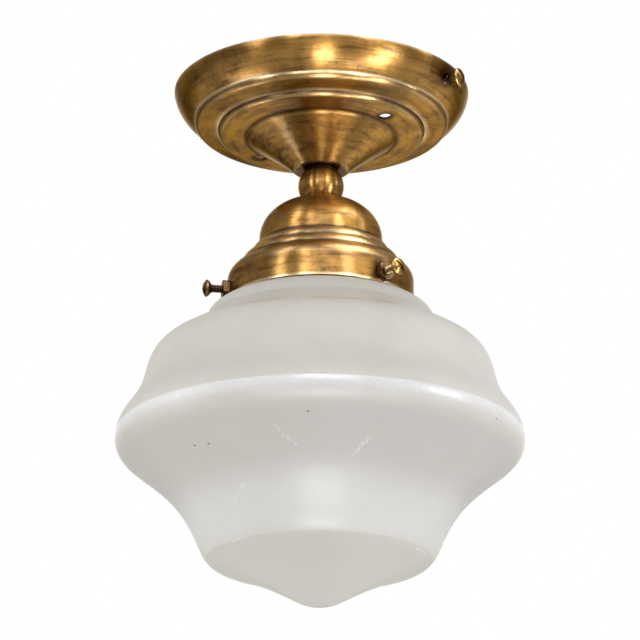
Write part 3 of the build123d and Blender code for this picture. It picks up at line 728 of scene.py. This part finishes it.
floor_material, floor_nodes, floor_shader = new_material("floor")
floor_cloud = floor_nodes.ramp(floor_nodes.noise(floor_nodes.place(), 2.0, 3.0), 0.3, 0.7)
floor_tone = floor_nodes.mix(floor_cloud, rgb(0.80, 0.80, 0.79), rgb(0.83, 0.83, 0.82))
floor_nodes.put(floor_shader.inputs["Base Color"], floor_tone)
floor_shader.inputs["Roughness"].default_value = 0.8
dress(floor, floor_material)

brass_turned = aged_brass("aged_brass_turned", turned=True, brushed=True)
brass_screw = aged_brass("aged_brass_screw", turned=True, brushed=False)
brass_small = aged_brass("aged_brass_small", turned=False, brushed=False)
glass = opal_glass("opal_glass")
steel = plain_metal("zinc_steel", (0.62, 0.62, 0.60), (0.50, 0.50, 0.49), 0.34)
bright_brass = plain_metal("plain_brass", (0.72, 0.52, 0.22), (0.58, 0.40, 0.15), 0.3)
copper = plain_metal("bare_copper", (0.72, 0.38, 0.20), (0.55, 0.27, 0.13), 0.32)
aluminium = plain_metal("bulb_cap", (0.74, 0.73, 0.71), (0.62, 0.61, 0.60), 0.28)
solder = plain_metal("solder", (0.62, 0.62, 0.63), (0.48, 0.48, 0.49), 0.45)
green = plain_body("green_screw", (0.09, 0.33, 0.15), (0.06, 0.25, 0.11), 0.35, coat=0.4)
nylon = plain_body("block_white", (0.84, 0.83, 0.78), (0.78, 0.77, 0.72), 0.45)
porcelain = plain_body("porcelain", (0.87, 0.85, 0.79), (0.82, 0.80, 0.74), 0.25, 40.0, 0.8)
frosted = plain_body("bulb_glass", (0.90, 0.89, 0.86), (0.86, 0.85, 0.82), 0.3, 30.0, 0.3)
vitrite = plain_body("bulb_insulator", (0.04, 0.035, 0.05), (0.06, 0.05, 0.07), 0.15, 60.0, 0.6)
black_sleeve = plain_body("lead_black", (0.025, 0.025, 0.025), (0.045, 0.045, 0.045), 0.5)
white_sleeve = plain_body("lead_white", (0.80, 0.79, 0.75), (0.72, 0.71, 0.67), 0.5)

BY_SLOT = {
    "aged_brass": brass_small,
    "plain_brass": bright_brass,
    "zinc_steel": steel,
    "green_screw": green,
    "block_white": nylon,
    "opal_glass": glass,
    "porcelain": porcelain,
    "bulb_glass": frosted,
    "bulb_cap": aluminium,
    "bulb_insulator": vitrite,
    "solder": solder,
    "lead_black": black_sleeve,
    "lead_white": white_sleeve,
    "bare_copper": copper,
}
slot_of = {entry["node"]: entry["material_slot"] for entry in frame["record"]["subparts"]}
for node_name, node in frame["nodes"].items():
    dress(node, BY_SLOT[slot_of[node_name]])
    metal_pieces.objects.link(node)


def stand_for(piece, node_name, body, material):
    """Let a piece stand for a CAD node, on its body and with its finish."""
    dress(piece, material)
    (glass_pieces if material is glass else metal_pieces).objects.link(piece)
    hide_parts(node_name)
    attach(piece, body)


# Canopy, with its side holes and the two empty holes in its shelf

SHELF_HOLE_R = 3.0
SHELF_HOLES_AT = 42.9
SHELF_HOLE_ANGLES = (-11, 169)
SHELF_Z = -23.3
SHELF_CUT = 8.0
SIDE_HOLE_R = 2.28
SIDE_HOLE_Z = -7.4
SIDE_CUT = 200.0
canopy_outline = (
    Profile(76.2, 0.0)
    .line(76.2, -0.8)
    .arc(65.5, -15.3, 2.0)
    .arc(62.9, -18.8, 0.95)
    .line(54.7, -20.0)
    .line(53.8, -20.13)
    .line(53.3, -20.2)
    .arc(51.3, -23.2, 0.8)
    .line(39.3, -24.06)
    .arc(37.0, -25.65, -0.2)
    .arc(14.3, -42.3, -0.55)
    .line(13.8, -42.5)
    .line(5.05, -42.5)
    .turn_in()
    .line(5.05, -41.5)
    .line(13.6, -41.5)
    .line(37.6, -23.7)
    .line(37.6, -23.1)
    .line(51.2, -22.2)
    .line(53.2, -19.2)
    .line(62.8, -17.8)
    .line(64.9, -14.5)
    .arc(75.2, -0.8, -2.0)
    .line(75.2, 0.0)
)
shelf_holes = [around(SHELF_HOLES_AT, angle, SHELF_Z) for angle in SHELF_HOLE_ANGLES]
canopy_cutters = [cylinder_cutter(SHELF_HOLE_R, SHELF_CUT, spot, (0, 0, 1)) for spot in shelf_holes]
canopy_cutters.append(cylinder_cutter(SIDE_HOLE_R, SIDE_CUT, (0, 0, SIDE_HOLE_Z), (1, 0, 0)))
# Thin pale lines on the bead crests, rubbed wear and painted highlight
canopy_rubs_and_highlights = [
    ((65.4, -15.5), 0.7, 1.0),
    ((54.0, -20.1), 0.7, 1.0),
]
# Painted shade under the ball, round the side screw, along the inner bead, on the cone's base edge and in the
# shelf holes
canopy_painted_shade = [
    ((9.0, -42.5), 4.0, 0.8),
    ((76.0, 0.0, SIDE_HOLE_Z), 5.5, 0.8),
    ((53.1, -20.9), 0.5, 0.8),
    ((39.0, -24.2), 1.3, 0.45),
]
canopy_painted_shade += [(spot, 3.4, 2.0) for spot in shelf_holes]
canopy = lathe("canopy_turned", canopy_outline, canopy_cutters, canopy_painted_shade, canopy_rubs_and_highlights, edge_share=0.3)
stand_for(canopy, "canopy", "fixture", brass_turned)

# Neck ball

BALL_MID = -51.25
BALL_R = 11.7
BALL_HALF = 8.75
BALL_BORE_R = 4.89
BALL_STEPS = 36
ball_end = math.degrees(math.asin(BALL_HALF / BALL_R))
ball_outline = Profile(BALL_BORE_R, BALL_MID + BALL_HALF)
for i in range(BALL_STEPS + 1):
    lift = math.radians(ball_end - 2 * ball_end * i / BALL_STEPS)
    ball_outline.points.append(Vector((BALL_R * math.cos(lift), BALL_MID + BALL_R * math.sin(lift))))
ball_outline.line(BALL_BORE_R, BALL_MID - BALL_HALF)
# Painted shade where the ball meets the canopy and the fitter
ball_painted_shade = [((8.0, BALL_MID + BALL_HALF), 1.6, 1.0), ((8.0, BALL_MID - BALL_HALF), 1.6, 0.9)]
ball = lathe("neck_ball_turned", ball_outline, painted_shade=ball_painted_shade)
stand_for(ball, "neck_ball", "fixture", brass_turned)

# Fitter, with painted shade round its nuts, under the ball and on one side of its band

BAND_R = 47.3
SHADE_SCREW_Z = -110.8
SHADE_SCREW_ANGLES = {"shade_screw_right": -19.0, "shade_screw_left": -139.0, "shade_screw_rear": 101.0}
fitter_outline = (
    Profile(5.05, -60.0)
    .line(9.3, -60.0)
    .curve(31.4, -81.0, -5, -90)
    .line(31.6, -84.7)
    .arc(35.4, -89.8, 1.1)
    .arc(40.5, -95.3, 1.3)
    .curve(BAND_R, -104.0, -30, -90)
    .line(BAND_R, -115.9)
    .arc(47.0, -116.2, 0.1)
    .line(46.3, -116.2)
    .line(46.3, -104.0)
    .curve(40.0, -96.17, 90, 150)
    .line(34.6, -90.6)
    .line(30.6, -84.7)
    .line(30.4, -81.0)
    .curve(9.2, -61.0, 90, 175)
    .line(5.05, -61.0)
)
# Painted shade under the ball, on one side of the band and round each nut
fitter_painted_shade = [((8.0, -60.0), 1.8, 0.9), ((46.6, 8.2, -112.5), 14.0, 0.32)]
fitter_painted_shade += [(around(BAND_R, angle, SHADE_SCREW_Z), 5.6, 1.1) for angle in SHADE_SCREW_ANGLES.values()]
fitter = lathe("fitter_turned", fitter_outline, painted_shade=fitter_painted_shade)
stand_for(fitter, "fitter", "fixture", brass_turned)

# Glass shade, through stations of radius, height and heading

SHADE_WALL = 3.0
SHADE_STATIONS = [
    (39.7, -113.3, -90.0),
    (47.6, -117.0, -18.0),
    (57.9, -125.4, -80.0),
    (62.1, -129.2, -39.5),
    (78.6, -139.8, -31.4),
    (91.5, -166.4, -63.8),
    (102.0, -188.4, -90.0),
    (92.7, -201.4, -142.4),
    (60.6, -240.3, -112.9),
    (50.7, -251.8, -162.6),
    (16.7, -266.3, -151.9),
    (0.0, -272.0, -180.0),
]
shade_hollow = Profile(36.7, -113.3)
shade_hollow.step = INSIDE_STEP
shade_hollow.flow(SHADE_STATIONS, inset=SHADE_WALL)
shade_outline = (
    Profile(0.0, -269.0)
    .inside(shade_hollow.points[:-1])
    .line(36.7, -99.7)
    .line(40.08, -99.7)
    .arc(40.08, -104.9, 1.2)
    .line(39.7, -106.1)
    .line(39.7, -113.3)
    .flow(SHADE_STATIONS)
)
stand_for(lathe("shade_blown", shade_outline), "shade", "glass_shade", glass)

# Thumb screws, with cut threads and slotted button heads

SCREW_R = 2.08
ROOT_R = 1.62
PITCH = 0.79
PITCH_STEPS = 7
SCREW_STEPS = 36
SCREW_SHARP = 32
SCREW_TIP = 0.62
SLOT_WIDTH = 1.1
SLOT_DEPTH = 1.0
SLOT_TURN = -45.0
SHADE_TIP_R = 40.0
SIDE_TIP_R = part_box("canopy_screw")[0][0] / MM
SIDE_COLLAR_AT = 75.4

# Button head, as shares of its length and radius: its edge, and a point of the curves under and over it
EDGE_IN = 0.13
EDGE_FROM = 0.27
EDGE_TO = 0.64
UNDER_OUT = 0.62
UNDER_UP = 0.33
CROWN_OUT = 0.615
CROWN_DOWN = 0.125


def arc_through(start, middle, end, steps):
    """Points of the arc through three points, without the first."""
    (ax, ay), (bx, by), (cx, cy) = start, middle, end
    d = 2 * (ax * (by - cy) + bx * (cy - ay) + cx * (ay - by))
    a2, b2, c2 = ax * ax + ay * ay, bx * bx + by * by, cx * cx + cy * cy
    x = (a2 * (by - cy) + b2 * (cy - ay) + c2 * (ay - by)) / d
    y = (a2 * (cx - bx) + b2 * (ax - cx) + c2 * (bx - ax)) / d
    first = math.atan2(ay - y, ax - x)
    sweep = math.atan2(cy - y, cx - x) - first
    sweep -= 2 * math.pi * round(sweep / 2 / math.pi)
    size = math.hypot(ax - x, ay - y)
    turns = [first + sweep * i / steps for i in range(1, steps + 1)]
    return [(x + size * math.cos(turn), y + size * math.sin(turn)) for turn in turns]


class ThumbScrew:
    """Sizes of a screw along its axis from the tip, with a button head that is round on both sides."""

    def __init__(self, shank_len, collar_r, collar_len, head_r, head_len):
        self.shank_len = shank_len
        self.collar_r = collar_r
        self.collar_len = collar_len
        self.head_r = head_r
        self.head_len = head_len
        self.head_low = shank_len + collar_len
        self.end = self.head_low + head_len
        self.edge_r = head_r - head_len * EDGE_IN
        self.edge_low = self.head_low + head_len * EDGE_FROM
        self.edge_high = self.head_low + head_len * EDGE_TO
        self.edge_mid = (self.edge_low + self.edge_high) / 2
        self.thread_steps = round((shank_len - SCREW_TIP) / PITCH * PITCH_STEPS)

    def outline(self):
        """Radius and height of each ring, from the tip to the top of the head."""
        neck = (self.collar_r, self.head_low)
        under_r = self.collar_r + (self.edge_r - self.collar_r) * UNDER_OUT
        under = (under_r, self.head_low + (self.edge_low - self.head_low) * UNDER_UP)
        low = (self.edge_r, self.edge_low)
        high = (self.edge_r, self.edge_high)
        crown = (self.edge_r * CROWN_OUT, self.end - self.head_len * CROWN_DOWN)
        points = [(0.0, 0.0), (SCREW_R - SCREW_TIP, 0.0)]
        for i in range(self.thread_steps + 1):
            points.append((SCREW_R, SCREW_TIP + (self.shank_len - SCREW_TIP) * i / self.thread_steps))
        points += [(self.collar_r, self.shank_len), neck]
        points += arc_through(neck, under, low, steps=5)
        points += arc_through(low, (self.head_r, self.edge_mid), high, steps=7)
        points += arc_through(high, crown, (0.0, self.end), steps=10)
        return points

    def rings(self):
        """Vertices in metres and their rings, with the thread wound round the shank above the tip's two."""
        verts = []
        rings = []
        for index, (radius, along) in enumerate(self.outline()):
            threaded = 2 <= index < 2 + self.thread_steps
            count = SCREW_STEPS if radius > ON_AXIS else 1
            rings.append((len(verts), count))
            for k in range(count):
                share = k / SCREW_STEPS
                size = radius
                if threaded:
                    wave = 1 - abs(2 * ((along / PITCH - share) % 1.0) - 1)
                    size = ROOT_R + (SCREW_R - ROOT_R) * min(1.0, 1.3 * wave)
                verts.append([c * MM for c in around(size, 360 * share, along)])
        return verts, rings

    def slot_cutter(self):
        """Cutter for the slot across the head."""
        work = bmesh.new()
        lift = Matrix.Translation((0, 0, self.end * MM))
        turn = Matrix.Rotation(math.radians(SLOT_TURN), 4, "Z")
        size = Matrix.Diagonal((SLOT_WIDTH * MM, self.head_r * 3 * MM, SLOT_DEPTH * 2 * MM, 1))
        bmesh.ops.create_cube(work, size=1.0, matrix=lift @ turn @ size)
        return as_cutter(work)

    def marks(self, places, radius):
        """Wear and painted highlight on the head's edge and the crests, and painted shade in the roots, under
        the collar and in the slot.
        """
        along = places[:, 2]
        root = np.where(along < self.shank_len - 0.05, (SCREW_R - radius) / (SCREW_R - ROOT_R), 0.0)
        shade_beneath = np.exp(-((along - self.shank_len - 0.2) / max(0.9, self.collar_len * 0.8)) ** 2)
        grime_and_shade = np.clip(np.maximum(root * 0.75, shade_beneath * 0.9), 0.2, 1)
        in_slot = np.abs(places[:, :2] @ np.array(way(SLOT_TURN))) < SLOT_WIDTH / 2 + 0.02
        grime_and_shade[in_slot & (np.abs(along - self.end + SLOT_DEPTH) < 0.1)] = 1.0
        edge = np.exp(-((along - self.edge_mid) / 0.9) ** 2) * (radius > self.edge_r - 0.1) * 0.2
        crests = np.clip(1 - root, 0, 1) * (along < self.shank_len) * 0.14 * (1 - shade_beneath)
        return np.maximum(edge, crests), grime_and_shade


def thumb_screw(name, angle, tip_r, height, *sizes):
    """Screw that points straight in at an angle, with its tip at a radius and a height."""
    screw = ThumbScrew(*sizes)
    verts, rings = screw.rings()
    mesh = bpy.data.meshes.new(name)
    mesh.from_pydata(verts, [], spin(rings, SCREW_STEPS, False))
    finish_mesh(mesh, SCREW_SHARP)
    piece = new_object(name, mesh)
    cut_away(piece, [screw.slot_cutter()])
    mesh = piece.data
    finish_mesh(mesh, SCREW_SHARP)
    places, radius = vertex_places(mesh)
    wear_and_highlight, grime_and_shade = screw.marks(places, radius)
    stamp(mesh, places, radius, places[:, 2] + radius, wear_and_highlight, grime_and_shade)
    out = Vector(around(1.0, angle, 0.0))
    up = Vector((0, 0, 1))
    turn = Matrix((up, out.cross(up), out)).transposed().to_4x4()
    mesh.transform(Matrix.Translation((out * tip_r + up * height) * MM) @ turn)
    return piece


# Angle, radius and height of each tip, then the shank's length, the collar and the head
SCREWS = {
    screw_name: (screw_angle, SHADE_TIP_R, SHADE_SCREW_Z, 16.2, 2.45, 0.4, 4.4, 4.0)
    for screw_name, screw_angle in SHADE_SCREW_ANGLES.items()
}
SCREWS["canopy_screw"] = (0.0, SIDE_TIP_R, SIDE_HOLE_Z, SIDE_COLLAR_AT - SIDE_TIP_R, 3.1, 3.2, 4.9, 4.1)
for screw_name, screw_sizes in SCREWS.items():
    stand_for(thumb_screw(f"{screw_name}_cut", *screw_sizes), screw_name, screw_name, brass_screw)
